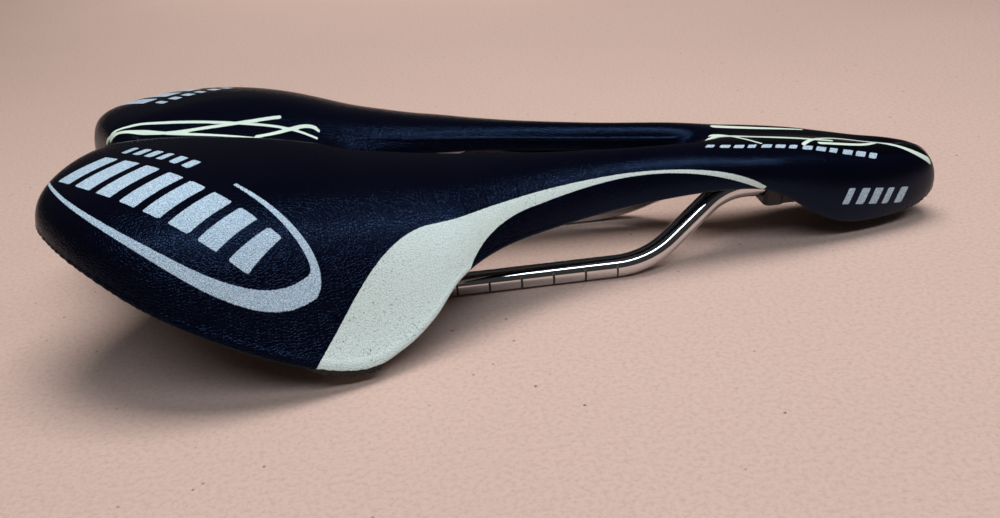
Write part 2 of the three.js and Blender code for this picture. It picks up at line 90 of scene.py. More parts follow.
SKIN = depth(COVER_T, COVER_T, COVER_T)
PAD_OUT = depth(COVER_T + 1.5 * GAP, COVER_T + 2 * GAP, COVER_T + GAP)
PAD_IN = depth(PAD_OUT["top"] + PAD_T, PAD_OUT["side"] + PAD_EDGE_T, PAD_OUT["rise"])
SHELL_OUT = depth(PAD_IN["top"] + GAP, PAD_IN["side"] + GAP, PAD_OUT["rise"])
SHELL_IN = depth(SHELL_OUT["top"] + SHELL_T, SHELL_OUT["side"] + SHELL_T, PAD_OUT["rise"])
HEM_OUT = depth(SHELL_IN["top"] + GAP, SHELL_IN["side"] + GAP, COVER_T)
HEM_IN = depth(HEM_OUT["top"] + COVER_T, HEM_OUT["side"] + COVER_T, 0)
SURFACE = depth(0, 0, 0)


def catmull(rows, t):
    """Rows of control values read at the positions t, smoothly."""
    n = len(rows)
    i = np.minimum(np.floor(t).astype(int), n - 2)
    f = (t - i)[:, None]
    p1, p2 = rows[i], rows[i + 1]
    p0 = np.where((i > 0)[:, None], rows[np.maximum(i - 1, 0)], 2 * p1 - p2)
    p3 = np.where((i + 2 < n)[:, None], rows[np.minimum(i + 2, n - 1)], 2 * p2 - p1)
    return 0.5 * (2 * p1 + (p2 - p0) * f + (2 * p0 - 5 * p1 + 4 * p2 - p3) * f ** 2
                  + (3 * p1 - p0 - 3 * p2 + p3) * f ** 3)


def bezier(a, b, c, d, t):
    s = 1 - t
    return s ** 3 * a + 3 * s * s * t * b + 3 * s * t * t * c + t ** 3 * d


class Form:
    """The saddle's half-sections at stations t; every method gives one row per station."""

    def __init__(self, t):
        r = catmull(SECTIONS, t)
        is_open = (t > HOLE_FIRST) & (t < HOLE_LAST)
        col = [r[:, k:k + 1] for k in range(11)]
        self.t = t
        self.ex, self.ey, self.ez, self.ix, self.iy, self.iz = col[:6]
        self.ey = np.where(((t <= 0) | (t >= LAST))[:, None], 0, self.ey)
        self.iy = np.where(is_open[:, None], np.maximum(self.iy, 0.4), 0)
        self.width = np.hypot(self.ex - self.ix, self.ey - self.iy)
        self.crown_w, self.crown_z = col[6] * self.width, col[7]
        self.flare = np.radians(col[8])
        wall = np.maximum(col[9], 0)
        self.wall, self.full = np.radians(wall), col[10]
        self.open = np.where(is_open[:, None], np.minimum(wall / 60, 1), 0)

    def inner(self, d, n, wall_gap, follow):
        """(w, z) from the inner end up to the crown."""
        t = (1 - np.arange(n + 1) / n)[None]
        rise = self.crown_z - self.iz
        near_end = 0.45 * self.crown_w * np.cos(self.wall)
        w = bezier(self.crown_w, 0.5 * self.crown_w, near_end, 0 * rise, t)
        z = bezier(self.crown_z, self.crown_z, self.iz + 0.6 * rise * np.sin(self.wall), self.iz, t)
        up = np.where(self.open > 0, (z - self.iz) / np.where(rise == 0, 1, rise), 1)
        shut = z - d["top"]
        opened = z - d["top"] * up if follow else self.crown_z - d["top"] + 0 * z
        shift = np.where(self.open > 0, wall_gap, 0)
        along = shift + w * (self.crown_w - shift) / self.crown_w
        return along, (1 - self.open) * shut + self.open * opened

    def outer(self, d, n):
        """(w, z) from the crown down to the lower edge."""
        t = (np.arange(n + 1) / n)[None]
        drop = self.crown_z - self.ez
        w = bezier(self.crown_w, self.crown_w + self.full * (self.width - self.crown_w),
                   self.width - 0.5 * drop * np.sin(self.flare), self.width, t)
        z = bezier(self.crown_z, self.crown_z, self.ez + 0.5 * drop * np.cos(self.flare), self.ez, t)
        kw = (self.width - d["side"] - self.crown_w) / (self.width - self.crown_w)
        ez = self.ez + d["rise"]
        kz = (self.crown_z - d["top"] - ez) / drop
        return self.crown_w + (w - self.crown_w) * kw, ez + (z - self.ez) * kz

    def hem_height(self):
        return np.minimum(HEM, 0.6 * (self.crown_z - HEM_IN["top"] - self.ez))

    def cut_by_height(self, curve, z0, z1, n):
        """n + 1 points of a curve between two heights, lowest first."""
        w, z = curve[0][:, ::-1], curve[1][:, ::-1]
        f = (np.arange(n + 1) / n)[None]
        target = z0 + (z1 - z0) * f
        out = np.array([np.interp(target[i], z[i], w[i]) for i in range(len(z))])
        return out, target

    def lip_start(self):
        w, z = self.inner(SKIN, 40, COVER_T, True)
        level = self.crown_z - PAD_IN["top"]
        hit = np.argmax(z > level, axis=1)
        start = w[np.arange(len(w)), hit][:, None] + GAP
        return np.where(self.open > 0, start, 0)

    def space(self, curve):
        """Curve points as (station, point, xyz) in millimetres, right-hand rule, left half."""
        w, z = curve
        x = self.ix + (self.ex - self.ix) / self.width * w
        y = np.maximum(self.iy + (self.ey - self.iy) / self.width * w, 0)
        return np.stack([x + 0 * z, y + 0 * z, z + 0 * w], -1)


def join(*curves):
    return np.hstack([c[0] for c in curves]), np.hstack([c[1] for c in curves])


def stations(per_section):
    """Station list with each whole section in it."""
    return np.arange(LAST * per_section + 1) / per_section


def sheet_mesh(name, form, outer, inner, prints=None, relief=None, inner_relief=None):
    """Closed solid between two faces, given as (w, z) curves from the inner end to the edge.
    prints: name -> (distance function, first column, end column) for patterns on the outer face.
    relief, inner_relief: functions of a face's points (station, column, xyz) that give them back, worked."""
    outer_pts = form.space(outer)
    if relief:
        outer_pts = relief(outer_pts)
    inner_pts = form.space(inner)
    if inner_relief:
        inner_pts = inner_relief(inner_pts)
    faces_pts = np.concatenate([outer_pts, inner_pts[:, ::-1]], axis=1)
    n_out, n = outer[0].shape[1], faces_pts.shape[1]
    rows = len(form.t)
    half = faces_pts.reshape(-1, 3)
    pts = np.concatenate([half, half * [1, -1, 1]])
    quads = []
    grid = np.arange(rows * n).reshape(rows, n)
    a, b = grid[:-1], grid[1:]
    quads.append(np.stack([a[:, :-1], b[:, :-1], b[:, 1:], a[:, 1:]], -1).reshape(-1, 4))
    closes = (form.t[:-1] >= HOLE_FIRST) & (form.t[1:] <= HOLE_LAST)
    quads.append(np.stack([a[closes, -1], b[closes, -1], b[closes, 0], a[closes, 0]], -1))
    quads = np.concatenate(quads)
    quads = np.concatenate([quads, (quads + len(half))[:, ::-1]])
    # weld: points on the centre line are shared by both halves
    key = np.round(pts * 1e4).astype(np.int64)
    _, first, inverse = np.unique(key, axis=0, return_index=True, return_inverse=True)
    order = np.argsort(first)
    rank = np.empty_like(order)
    rank[order] = np.arange(len(order))
    index = rank[inverse.reshape(-1)]
    verts = pts[np.sort(first)]
    faces = index[quads]
    polys = []
    for f in faces.tolist():
        g = [v for k, v in enumerate(f) if v != f[k - 1]]
        if len(g) > 2 and len(set(g)) == len(g):
            polys.append(g)
    obj = mesh_object(name, verts, polys)
    column = (np.arange(len(pts)) % n)[np.sort(first)]
    put_attribute(obj, "outer", np.where(column < n_out, 1.0, 0.0))
    for key_name, (fn, start, stop) in (prints or {}).items():
        put_attribute(obj, key_name, np.where((column >= start) & (column < stop), fn(verts), 9.0))
    return obj


def put_attribute(obj, name, values):
    att = obj.data.attributes.new(name, "FLOAT", "POINT")
    att.data.foreach_set("value", np.asarray(values, dtype=np.float32))


def to_row(points):
    """Millimetres in the design frame to metres in the row frame."""
    return (np.asarray(points, float) + [X_SHIFT, 0, 0]) * MM


def mesh_object(name, verts_mm, polys, smooth=True):
    mesh = bpy.data.meshes.new(name)
    mesh.from_pydata([tuple(v) for v in to_row(verts_mm)], [], polys)
    mesh.validate()
    mesh.update()
    obj = bpy.data.objects.new(name, mesh)
    bpy.context.scene.collection.objects.link(obj)
    if smooth:
        mesh.polygons.foreach_set("use_smooth", [True] * len(mesh.polygons))
    return obj


# ---------------------------------------------------------------------------
# Printed graphics as signed distances in millimetres, negative inside


def stroke_distance(q, line):
    """Distance of the 2-D points q from a brush stroke of points (a, b, half width)."""
    best = np.full(len(q), 9.0)
    lo, hi = line[:, :2].min(0) - 6, line[:, :2].max(0) + 6
    near = np.all((q > lo) & (q < hi), axis=1)
    p = q[near]
    out = np.full(len(p), 9.0)
    for (ax, ay, aw), (bx, by, bw) in zip(line[:-1], line[1:]):
        dx, dy = bx - ax, by - ay
        f = np.clip(((p[:, 0] - ax) * dx + (p[:, 1] - ay) * dy) / (dx * dx + dy * dy + 1e-9), 0, 1)
        d = np.hypot(p[:, 0] - ax - f * dx, p[:, 1] - ay - f * dy) - (aw + (bw - aw) * f)
        out = np.minimum(out, d)
    best[near] = out
    return best


def polygon_distance(q, corners):
    """Signed distance of the 2-D points q from a closed outline, negative inside."""
    c = np.array(corners, float)
    d2 = np.full(len(q), 1e9)
    inside = np.zeros(len(q), bool)
    for (ax, ay), (bx, by) in zip(c, np.roll(c, -1, axis=0)):
        dx, dy = bx - ax, by - ay
        px, py = q[:, 0] - ax, q[:, 1] - ay
        f = np.clip((px * dx + py * dy) / (dx * dx + dy * dy + 1e-12), 0, 1)
        d2 = np.minimum(d2, (px - f * dx) ** 2 + (py - f * dy) ** 2)
        crosses = (ay > q[:, 1]) != (by > q[:, 1])
        with np.errstate(divide="ignore", invalid="ignore"):
            at = ax + (q[:, 1] - ay) * dx / (by - ay)
        inside ^= crosses & (q[:, 0] < at)
    d = np.sqrt(d2)
    return np.clip(np.where(inside, -d, d), -9, 9)


def curve(a, b, c, d, steps=24):
    """Cubic curve from a to d, pulled towards b and c."""
    f = np.arange(steps + 1)[:, None] / steps
    a, b, c, d = (np.array(v, float) for v in (a, b, c, d))
    return a * (1 - f) ** 3 + 3 * b * f * (1 - f) ** 2 + 3 * c * f ** 2 * (1 - f) + d * f ** 3


def brush(line, first, last):
    """A stroke along a line whose half width goes evenly from first to last."""
    return np.column_stack([line, np.linspace(first, last, len(line))])


# Print outlines, in design millimetres: (x, z) for the band, (x, |y|) for the tail, (x, y) for the nose.
BAND_TOP = [
    curve((71, 8), (83, 19), (89, 32.5), (104, 33.5)),
    curve((104, 33.5), (150, 34), (194, 36), (211, 23)),
]
BAND_FOOT = [
    curve((115, 20), (119, 27), (127, 30.5), (138, 30.7)),
    curve((138, 30.7), (165, 33.5), (188, 34), (210, 22)),
]
CRESCENT = [
    brush(curve((4, 30), (14, 58), (50, 75), (73, 60)), 0.3, 1.3),
    brush(curve((73, 60), (78, 56), (68, 52), (56, 45)), 1.3, 0.5),
]
CHANNEL_LINES = [
    brush(curve((12, 8), (35, 8), (62, 12), (74, 6.5)), 0.42, 0.36),
    brush(curve((12, 7), (30, 3.5), (55, 7), (73.5, 0.4)), 0.45, 0.4),
    brush(curve((10, 9), (22, 0), (44, 9), (63, 12)), 0.35, 0.5),
    brush(curve((56, 5), (66, 8), (71, 12), (74.5, 9)), 0.55, 0.5),
]
NOSE_LINES = [
    brush(curve((196, -1), (208, -3), (222, -6), (237, -4.6)), 1.0, 0.7),
    brush(curve((226, -9), (238, 2), (245, 0), (258, -4)), 0.6, 0.8),
    brush(curve((232, -7.4), (245, -6), (249, -6), (254, -2)), 0.6, 0.7),
    brush(curve((251, -1.4), (258, -4), (264, -7), (271, -5)), 0.6, 0.6),
    brush(curve((199, 0.6), (205, -1), (206, -6), (212, -9.6)), 0.9, 0.3),
    brush(curve((202, 7), (211, 5), (223, 4), (231, 5)), 1.3, 0.4),
]


def top_plane(p):
    return np.stack([p[:, 0], np.abs(p[:, 1])], -1)


def band(p):
    side = np.stack([p[:, 0], p[:, 2]], -1)
    top, foot = np.vstack(BAND_TOP), np.vstack(BAND_FOOT)
    outline = np.vstack([[(62, -6)], top, foot[::-1], [(113.5, -6)]])
    return polygon_distance(side, outline)


def slanted_bars(count=8, fill=0.66, lean=0.06, steps=100):
    """Quadrilaterals along the wing, cut from the strip between its low edge and its top edge."""
    low = curve((8, 34), (24, 50), (42, 60), (60, 63), steps)
    top = curve((16, 23), (34, 37), (50, 50), (67, 55), steps)
    bars = []
    for k in range(count):
        a, b = k / count, (k + fill) / count
        corners = [(low, a), (low, b), (top, min(b + lean, 1)), (top, a + lean)]
        bars.append([tuple(line[round(f * steps)]) for line, f in corners])
    return bars


def dash_row(start, end, height, lean, count, fill=0.6):
    """A row of slanted dashes between two points."""
    a, b = np.array(start, float), np.array(end, float)
    run = (b - a) / count
    across = np.array([-run[1], run[0]]) / np.hypot(*run) * height
    out = []
    for k in range(count):
        p = a + run * k
        q = p + run * (fill if k % 3 else 0.8 * fill)
        out.append([tuple(p), tuple(q), tuple(q + across + run * lean), tuple(p + across + run * lean)])
    return out


def silver(p):
    q = top_plane(p)
    d = np.minimum(stroke_distance(q, CRESCENT[0]), stroke_distance(q, CRESCENT[1]))
    for outline in slanted_bars() + dash_row((23, 24), (45, 40), -4.2, 0.2, 6):
        d = np.minimum(d, polygon_distance(q, outline))
    side = np.stack([p[:, 0], p[:, 2]], -1)
    for outline in dash_row((237, 13), (261, 9), 5.2, 0.35, 5):
        mark = polygon_distance(side, outline)
        d = np.minimum(d, np.where(np.abs(p[:, 1]) > 8, mark, 9.0))
    for outline in dash_row((193, -12.4), (252, -10), 1.5, 0.25, 13, 0.72):
        d = np.minimum(d, polygon_distance(p[:, :2], outline))
    return np.where(p[:, 2] > 8, d, 9.0)


def lines(p):
    q = top_plane(p)
    d = np.full(len(p), 9.0)
    for stroke in CHANNEL_LINES:
        d = np.minimum(d, stroke_distance(q, stroke))
    for stroke in NOSE_LINES:
        d = np.minimum(d, stroke_distance(p[:, :2], stroke))
    return d


PANEL_CENTRE, PANEL_LENGTH, PANEL_WIDTH = 218, 56, 11.2  # half length and half width of its ellipse


def nose_panel(p):
    """Glossier panel on top of the nose: an ellipse cut off by a slanting line at its rear."""
    x, y = p[:, 0] - PANEL_CENTRE, p[:, 1]
    reach = np.hypot(x / PANEL_LENGTH, y / PANEL_WIDTH)
    slope = np.hypot(x / PANEL_LENGTH ** 2, y / PANEL_WIDTH ** 2) + 1e-9
    ellipse = reach * (reach - 1) / slope
    rear = (197 + 0.65 * y - p[:, 0]) * 0.84
    return np.clip(np.maximum(ellipse, rear), -9, 9)


# ---------------------------------------------------------------------------
# Materials


class Nodes:
    def __init__(self, name):
        self.mat = bpy.data.materials.new(name)
        self.mat.use_nodes = True
        self.tree = self.mat.node_tree
        self.bsdf = self.tree.nodes["Principled BSDF"]

    def new(self, kind, **values):
        node = self.tree.nodes.new(kind)
        for key, value in values.items():
            if key in node.inputs:
                node.inputs[key].default_value = value
            else:
                setattr(node, key, value)
        return node

    def link(self, a, b):
        self.tree.links.new(a, b)

    def attribute(self, name):
        return self.new("ShaderNodeAttribute", attribute_name=name).outputs["Fac"]

    def math(self, op, a, b=None, c=None, clamp=False):
        node = self.new("ShaderNodeMath", operation=op, use_clamp=clamp)
        for k, v in enumerate((a, b, c)):
            if v is None:
                continue
            if isinstance(v, (int, float)):
                node.inputs[k].default_value = v
            else:
                self.link(v, node.inputs[k])
        return node.outputs[0]

    def step(self, value, lo, hi):
        """0 below lo, 1 above hi; lo may be above hi."""
        node = self.new("ShaderNodeMapRange", clamp=True)
        self.link(value, node.inputs["Value"])
        node.inputs["From Min"].default_value, node.inputs["From Max"].default_value = lo, hi
        return node.outputs["Result"]

    def mix(self, factor, a, b):
        node = self.new("ShaderNodeMix", data_type="RGBA")
        for socket, v in ((node.inputs[0], factor), (node.inputs[6], a), (node.inputs[7], b)):
            if isinstance(v, tuple):
                socket.default_value = (*v, 1) if len(v) == 3 else v
            elif isinstance(v, (int, float)):
                socket.default_value = v
            else:
                self.link(v, socket)
        return node.outputs[2]

    def position(self, scale=(1, 1, 1)):
        geo = self.new("ShaderNodeTexCoord").outputs["Object"]
        mapping = self.new("ShaderNodeMapping")
        mapping.inputs["Scale"].default_value = scale
        self.link(geo, mapping.inputs["Vector"])
        return mapping.outputs["Vector"]

    def noise(self, scale, detail=3.0, rough=0.5, vector=None):
        node = self.new("ShaderNodeTexNoise")
        node.inputs["Scale"].default_value = scale
        node.inputs["Detail"].default_value = detail
        node.inputs["Roughness"].default_value = rough
        self.link(vector or self.position(), node.inputs["Vector"])
        return node.outputs["Fac"]

    def voronoi(self, scale, feature="F1", vector=None):
        node = self.new("ShaderNodeTexVoronoi", feature=feature)
        node.inputs["Scale"].default_value = scale
        self.link(vector or self.position(), node.inputs["Vector"])
        return node.outputs["Distance"]

    def bump(self, height, distance, strength=1.0, normal=None):
        node = self.new("ShaderNodeBump")
        node.inputs["Distance"].default_value = distance
        node.inputs["Strength"].default_value = strength
        self.link(height, node.inputs["Height"])
        if normal is not None:
            self.link(normal, node.inputs["Normal"])
        return node.outputs["Normal"]

    def set(self, **values):
        for key, v in values.items():
            socket = self.bsdf.inputs[key.replace("_", " ")]
            if isinstance(v, (int, float)):
                socket.default_value = v
            elif isinstance(v, tuple):
                socket.default_value = (*v, 1) if len(v) == 3 else v
            else:
                self.link(v, socket)
        return self.mat


def leather_material():
    m = Nodes("cover_leather")
    cells = m.voronoi(1250, "DISTANCE_TO_EDGE")
    crease = m.step(cells, 0.0, 0.2)                   # 0 in the creases of the grain, 1 on the pebbles
    fine = m.noise(3200, 2, 0.6)
    broad = m.noise(38, 3, 0.55)
    grain = m.math("ADD", crease, m.math("MULTIPLY", fine, 0.35))

    band_d, silver_d = m.attribute("band"), m.attribute("silver")
    lines_d, panel_d = m.attribute("lines"), m.attribute("panel")
    ragged = m.math("MULTIPLY", m.math("SUBTRACT", m.noise(1500, 2, 0.6), 0.5), 0.22)
    in_band = m.step(m.math("ADD", band_d, ragged), 0.05, -0.05)
    in_silver = m.step(m.math("ADD", silver_d, ragged), 0.05, -0.05)
    in_lines = m.step(m.math("ADD", lines_d, m.math("MULTIPLY", ragged, 0.5)), 0.05, -0.05)
    in_panel = m.step(panel_d, 0.05, -0.05)

    # ink is thin in the creases, so dark specks show between the pebbles
    uneven = m.math("MULTIPLY", m.math("SUBTRACT", fine, 0.5), 0.9)
    speck = m.step(m.math("ADD", cells, uneven), -0.04, 0.06)
    thin = m.math("ADD", m.math("MULTIPLY", speck, 0.38), 0.62)
    base = m.mix(broad, (0.0008, 0.0008, 0.0034), (0.0018, 0.0018, 0.0062))
    base = m.mix(in_panel, base, (0.001, 0.001, 0.0025))
    rubbed = m.step(m.noise(1500, 3, 0.75), 0.60, 0.66)
    patches = m.step(m.noise(55, 2, 0.5), 0.46, 0.60)
    worn = m.math("MULTIPLY", rubbed, patches)
    in_band = m.math("MULTIPLY", in_band, m.math("SUBTRACT", 1.0, m.math("MULTIPLY", worn, 0.75)))
    band_c = m.mix(broad, (0.70, 0.81, 0.75), (0.77, 0.88, 0.82))
    # painted glint: random bright flecks stand in for the silver ink's sparkle; the darker blue-grey between
    # them is the ink's own tone
    flake_glint = m.step(m.noise(4200, 2, 0.7), 0.42, 0.62)
    silver_c = m.mix(flake_glint, (0.30, 0.43, 0.55), (0.74, 0.87, 0.95))
    band_ink = m.math("ADD", m.math("MULTIPLY", speck, 0.24), 0.76)
    base = m.mix(m.math("MULTIPLY", in_band, band_ink), base, band_c)
    base = m.mix(m.math("MULTIPLY", in_silver, thin), base, silver_c)
    base = m.mix(in_lines, base, (0.72, 0.84, 0.70))
    # cut edges and the inside of the skin show the grey knitted backing
    back = m.step(m.attribute("outer"), 0.9, 0.1)
    knit = m.mix(m.noise(1800, 2, 0.7), (0.05, 0.045, 0.04), (0.17, 0.15, 0.13))
    base = m.mix(back, base, knit)

    printed = m.math("MAXIMUM", in_band, m.math("MAXIMUM", in_silver, in_lines))
    rough = m.math("ADD", 0.19, m.math("MULTIPLY", broad, 0.08))
    rough = m.math("SUBTRACT", rough, m.math("MULTIPLY", in_panel, 0.08))
    rough = m.math("ADD", rough, m.math("MULTIPLY", back, 0.4))
    height = m.math("MULTIPLY", grain, m.math("SUBTRACT", 1.0, m.math("MULTIPLY", in_panel, 0.5)))
    along = m.new("ShaderNodeSeparateXYZ")
    m.link(m.position(), along.inputs[0])
    taut = m.step(along.outputs["X"], -0.02, 0.08)      # the skin is stretched smooth towards the nose
    height = m.math("MULTIPLY", height, m.math("SUBTRACT", 1.0, m.math("MULTIPLY", taut, 0.65)))
    normal = m.bump(height, 0.00006, 0.75)
    normal = m.bump(broad, 0.0006, 0.15, normal)
    normal = m.bump(printed, 0.00004, 0.5, normal)
    return m.set(Base_Color=base, Roughness=rough, Normal=normal, Specular_IOR_Level=0.30,
                 Specular_Tint=(0.26, 0.47, 1.0))


def foam_material():
    m = Nodes("padding_foam")
    cells = m.voronoi(1600)
    tone = m.mix(m.noise(60, 3), (0.34, 0.33, 0.31), (0.44, 0.43, 0.40))
    return m.set(Base_Color=tone, Roughness=0.95, Normal=m.bump(cells, 0.0003, 0.6))


def nylon_material(name, tone=0.018, rough=0.5, scale=1.0):
    m = Nodes(name)
    broad = m.noise(45, 3, 0.6)
    spark = m.noise(3800 * scale, 2, 0.6)
    base = m.mix(broad, (tone * 0.7, tone * 0.72, tone * 0.78), (tone * 1.3, tone * 1.32, tone * 1.36))
    normal = m.bump(spark, 0.00008, 0.5)
    return m.set(Base_Color=base, Roughness=m.math("ADD", rough - 0.08, m.math("MULTIPLY", broad, 0.18)),
                 Normal=normal)


TICK_FIRST, TICK_STEP, TICK_LAST = 101.8, 10.0, 162.0   # graduations along the clamp length, mm


def rail_material():
    m = Nodes("rail_metal")
    streak = m.noise(1.0, 4, 0.6, m.position((40, 900, 900)))
    smudge = m.noise(90, 4, 0.6)
    tick = m.attribute("tick")
    mark = m.step(tick, 0.08, -0.08)
    base = m.mix(smudge, (0.58, 0.575, 0.58), (0.74, 0.74, 0.75))
    base = m.mix(mark, base, (0.012, 0.012, 0.012))
    rough = m.math("ADD", 0.03, m.math("MULTIPLY", smudge, 0.09))
    rough = m.math("ADD", rough, m.math("MULTIPLY", mark, 0.4))
    metal = m.math("SUBTRACT", 1.0, mark)
    normal = m.bump(streak, 0.00003, 0.25)
    return m.set(Base_Color=base, Metallic=metal, Roughness=rough, Normal=normal)


def steel_material(name, tone=(0.52, 0.53, 0.55), rough=0.32):
    m = Nodes(name)
    blot = m.noise(700, 3, 0.6)
    base = m.mix(blot, tuple(v * 0.7 for v in tone), tone)
    uneven = m.math("ADD", rough, m.math("MULTIPLY", blot, 0.15))
    return m.set(Base_Color=base, Metallic=1.0, Roughness=uneven,
                 Normal=m.bump(m.noise(2500, 2), 0.00004, 0.4))


def rubber_material():
    m = Nodes("sleeve_rubber")
    blot = m.noise(400, 3, 0.6)
    return m.set(Base_Color=m.mix(blot, (0.01, 0.01, 0.01), (0.022, 0.022, 0.021)), Roughness=0.8,
                 Normal=m.bump(blot, 0.0001, 0.4))


# ---------------------------------------------------------------------------
# Pieces


def finish_piece(obj, material, slot_name, *nodes):
    obj.data.materials.clear()
    obj.data.materials.append(material)
    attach(obj, "root")
    if nodes:
        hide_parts(*nodes)
    return obj


def push_out(points, amount):
    """Points of a sheet moved along its own normal by amount (millimetres, one per point)."""
    along = np.gradient(points, axis=0)
    across = np.gradient(points, axis=1)
    normal = np.cross(along, across)
    length = np.linalg.norm(normal, axis=2, keepdims=True)
    normal = normal / np.maximum(length, 1e-6)
    return points + normal * amount[..., None]


WELT_COLUMN, WELT_HEIGHT, WELT_PITCH = 11, 0.35, 2.4     # sewn line low on the cut-out's wall
PLEAT_DEPTH, PLEAT_PITCH = 0.28, 3.1                    # gathers where the skin turns under the edge
TAIL_BEND, TAIL_BEND_WIDTH = 3.2, 3.2                    # stations where the gathers are deepest
NOSE_BEND, NOSE_BEND_WIDTH = 22.5, 1.6


def build_cover():
    form = Form(stations(20))
    n_in, n_out, n_hem = 36, 96, 10
    out = join(form.inner(SURFACE, n_in, 0, True), tuple(c[:, 1:-1] for c in form.outer(SURFACE, n_out)))
    fold = 0.9
    steps = np.radians(np.arange(0, 91, 22.5))[None]
    corner = (form.width - fold + fold * np.cos(steps), form.ez + fold - fold * np.sin(steps))
    hem = form.hem_height()
    hem_in = form.cut_by_height(form.outer(HEM_IN, 60), form.ez, form.ez + hem, n_hem)
    inner_corner = (form.width - HEM_IN["side"] + 0.6 + 0 * form.ez, form.ez + 0 * form.ez)
    keep = (out[1] > form.ez + fold).all(axis=0)
    out = (out[0][:, keep], out[1][:, keep])
    outer = join(out, corner, inner_corner, hem_in)
    skin = join(form.inner(SKIN, 8, COVER_T, True), tuple(c[:, 1:] for c in form.outer(SKIN, 20)))
    hem_out = form.cut_by_height(form.outer(HEM_OUT, 60), form.ez + COVER_T, form.ez + hem, 3)
    inner = join(skin, hem_out)
    n_top = out[0].shape[1]
    n_print = n_top + corner[0].shape[1]

    def relief(points):
        columns = np.arange(points.shape[1])[None]
        edge = points[:, n_print - 1]
        run = np.concatenate([[0], np.cumsum(np.linalg.norm(np.diff(edge, axis=0), axis=1))])[:, None]
        # a sewn welt along the wall of the cut-out
        ridge = np.exp(-((columns - WELT_COLUMN) / 1.3) ** 2)
        stitches = 0.65 + 0.35 * np.sin(run * 2 * np.pi / WELT_PITCH)
        welt = WELT_HEIGHT * ridge * stitches * (form.open > 0.95)
        # gathers that fade out a few millimetres above the edge and are deepest on the tight bends
        tail = np.exp(-((form.t - TAIL_BEND) / TAIL_BEND_WIDTH) ** 2)
        nose = np.exp(-((form.t - NOSE_BEND) / NOSE_BEND_WIDTH) ** 2)
        bend = np.clip(tail + nose, 0, 1)[:, None]
        near_edge = np.clip((columns - (n_top - 12)) / 12, 0, 1) ** 2 * (columns < n_print + 4)
        wave = np.sin(run * 2 * np.pi / PLEAT_PITCH + 1.3 * np.sin(run * 0.7)) ** 2
        pleat = -PLEAT_DEPTH * bend * near_edge * wave
        return push_out(points, welt + pleat)

    prints = {"band": (band, n_in + 1, n_print + 1 + n_hem), "silver": (silver, 0, n_print),
              "lines": (lines, 0, n_print), "panel": (nose_panel, 0, n_print)}
    obj = sheet_mesh("cover_skin", form, outer, inner, prints, relief)
    return finish_piece(obj, leather_material(), "cover", "cover")


DARK_LIP_FROM, DARK_LIP_TO = 8.12, 9.42      # stations of the near-black lip that shows below each wing


def build_dark_lip():
    """A thin near-black lip with a ragged lower border under each wing's front corner."""
    form = Form(np.linspace(DARK_LIP_FROM, DARK_LIP_TO, 90))
    rng = np.random.default_rng(7)
    ragged = np.convolve(rng.uniform(0, 1, 96), [0.25, 0.5, 0.25], "same")[3:93, None]
    ends = np.clip(np.minimum(form.t - DARK_LIP_FROM, DARK_LIP_TO - form.t) * 8, 0, 1)[:, None]
    drop = (0.15 + 1.1 * ragged) * ends + 0.05
    w0, w1 = form.width - 1.0, form.width + 0.02 + 0.2 * ragged * ends
    z0, z1 = form.ez + 0.15 + 0.55 * ends * (0.4 + ragged), form.ez - drop
    w = np.hstack([w0, w0, w1, w1 - 0.12])
    z = np.hstack([form.ez + 0.05, z1 + 0.15, z1, z0])
    half = form.space((w, z))
    rows, n = half.shape[:2]
    grid = np.arange(rows * n).reshape(rows, n)
    polys = []
    for i in range(rows - 1):
        for k in range(n):
            q = (k + 1) % n
            polys.append([grid[i, k], grid[i, q], grid[i + 1, q], grid[i + 1, k]])
    polys.append(list(grid[0][::-1]))
    polys.append(list(grid[-1]))
    base = half.reshape(-1, 3)
    pieces = []
    for side, name in ((1, "dark_lip_left"), (-1, "dark_lip_right")):
        faces = [[int(v) for v in p] for p in polys]
        if side > 0:
            faces = [f[::-1] for f in faces]
        obj = mesh_object(name, base * [1, side, 1], faces, smooth=False)
        pieces.append(finish_piece(obj, dark_lip_mat, "cover"))
    return pieces


def dark_lip_material():
    m = Nodes("dark_edge_lip")
    # near-black tone for the thin lip along the lower edge under each wing
    tone = m.mix(m.noise(2600, 3, 0.7), (0.003, 0.003, 0.003), (0.035, 0.03, 0.026))
    return m.set(Base_Color=tone, Roughness=0.95, Normal=m.bump(m.noise(3000, 2), 0.0002, 0.8))


def build_padding():
    form = Form(stations(5))
    lip = form.lip_start()
    under = form.inner(PAD_IN, 6, lip, False)
    w, z = form.inner(PAD_OUT, 60, COVER_T + 4 * GAP, True)
    top_w, top_z = [], []
    for i in range(len(w)):
        first = int(np.argmax(z[i] > under[1][i, 0] + 1.0))
        pick = np.round(first + (60 - first) * np.arange(11) / 10).astype(int)
        top_w.append(w[i, pick])
        top_z.append(z[i, pick])
    top = (np.array(top_w), np.array(top_z))
    outer = join(top, tuple(c[:, 1:] for c in form.outer(PAD_OUT, 24)))
    inner = join(under, tuple(c[:, 1:] for c in form.outer(PAD_IN, 24)))
    obj = sheet_mesh("padding_foam", form, outer, inner)
    return finish_piece(obj, foam_material(), "padding", "padding")


RIB_HEIGHT, RIB_WIDTH = 0.7, 1.3
RIB_LINES = (30.0, 38.0, 46.0)      # distance of the long ribs from the centre line, mm
RIB_CROSS = (52.0, 66.0, 80.0)      # places of the ribs across the wings


